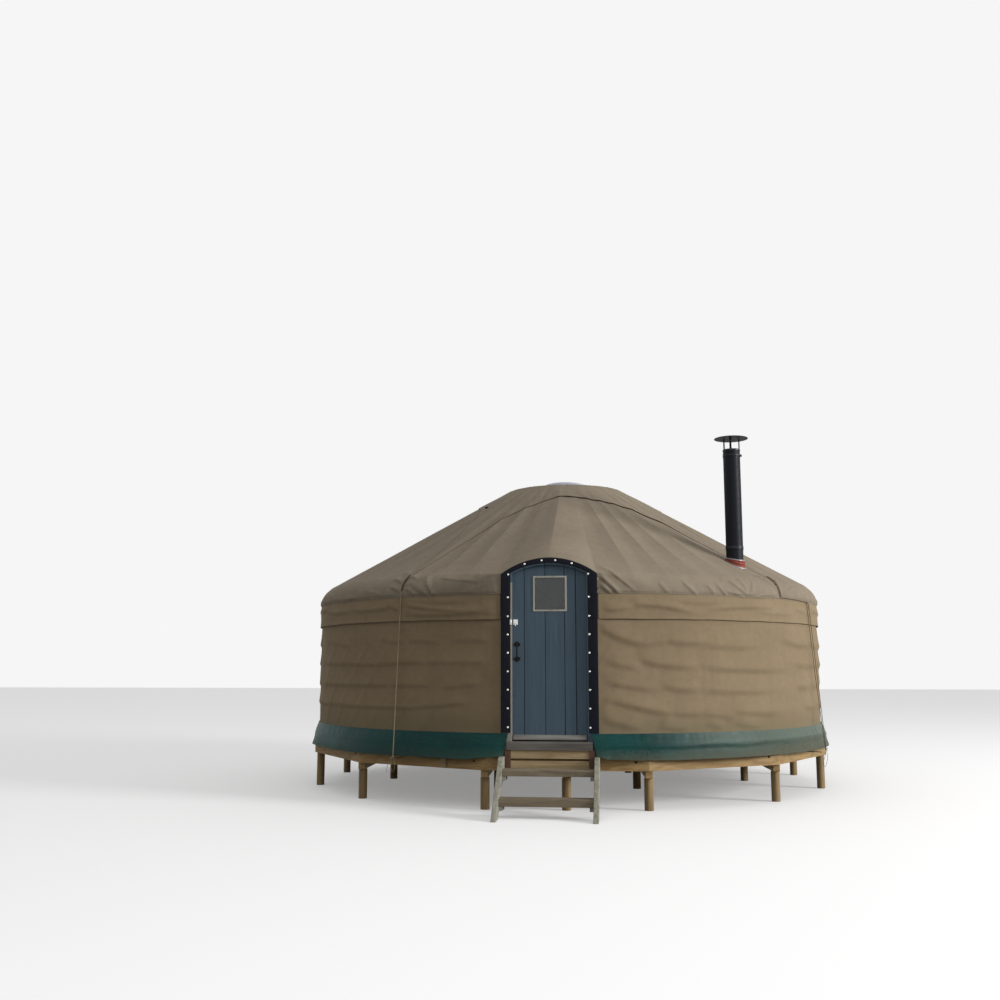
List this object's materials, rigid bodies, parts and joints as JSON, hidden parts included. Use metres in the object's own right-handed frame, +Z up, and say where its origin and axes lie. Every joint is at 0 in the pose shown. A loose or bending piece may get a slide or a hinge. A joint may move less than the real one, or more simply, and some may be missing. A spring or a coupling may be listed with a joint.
{
  "type": "yurt on a timber deck",
  "caption": "Round canvas yurt with a lattice wall, bent roof poles, crown dome, arched plank door and stove flue, on a twelve-sided timber deck with steps.",
  "frame": {"origin": "on the ground straight under the crown, at the foot of the deck's centre post", "axes": "+Z up, the door faces -Y, +X to the right of someone who looks at the door"},
  "size_m": [6.5696, 7.3048, 4.12],
  "materials": {
    "canvas": "matt proofed cotton canvas",
    "skirt_cloth": "satin coated cloth",
    "ash": "oiled coppice wood",
    "deck_pine": "treated softwood",
    "step_wood": "weathered softwood",
    "block_wood": "dark stained softwood",
    "door_paint": "satin blue-grey paint",
    "trim_cloth": "coated black strip",
    "black_iron": "satin black",
    "zinc": "galvanised",
    "flashing": "matt red silicone",
    "dome": "opal acrylic",
    "glass": "clear",
    "bead": "cream paint",
    "rope": "laid cotton rope",
    "band": "cotton webbing"
  },
  "bodies": {
    "yurt": {"centre_post": "deck_pine", "deck_posts": "deck_pine", "deck_bearers": "deck_pine", "deck_joists": "deck_pine", "deck_rim": "deck_pine", "deck_floor": "deck_pine", "step_stringers": "step_wood", "step_treads": "step_wood", "step_blocks": "block_wood", "step_risers": "deck_pine", "door_sill": "step_wood", "door_jambs": "ash", "door_head": "ash", "trim_lower": "trim_cloth", "trim_arch": "trim_cloth", "hinge_frame": "black_iron", "lattice_1": "ash", "lattice_2": "ash", "lattice_3": "ash", "lattice_4": "ash", "lattice_5": "ash", "lattice_6": "ash", "wall_1": "canvas", "wall_2": "canvas", "wall_3": "canvas", "wall_4": "canvas", "wall_5": "canvas", "wall_6": "canvas", "wall_7": "canvas", "skirt_left": "skirt_cloth", "skirt_right": "skirt_cloth", "valance": "canvas", "roof_over_door": "canvas", "roof_1": "canvas", "roof_2": "canvas", "roof_3": "canvas", "roof_4": "canvas", "roof_5": "canvas", "roof_poles": "ash", "door_poles": "ash", "crown_ring": "ash", "crown_slats": "ash", "crown_dome": "dome", "crown_cap": "canvas", "cap_ropes": "rope", "rope_hooks": "zinc", "tension_band": "band", "flue_pipe": "black_iron", "flue_flashing": "flashing", "flue_cowl": "black_iron", "flue_bracket": "black_iron"},
    "door": {"door_leaf": "door_paint", "door_ledges": "door_paint", "window_glass": "glass", "window_bead": "bead", "pull_handle": "black_iron", "latch_plate": "zinc", "weather_bar": "step_wood", "hinge_leaves": "black_iron"}
  },
  "joints": [
    {"name": "door_hinge", "type": "hinge", "parent": "yurt", "child": "door", "pos_m": [0.4065, -3.0765, 1.56], "axis": [0, 0, -1], "range_deg": [0, 95]}
  ]
}
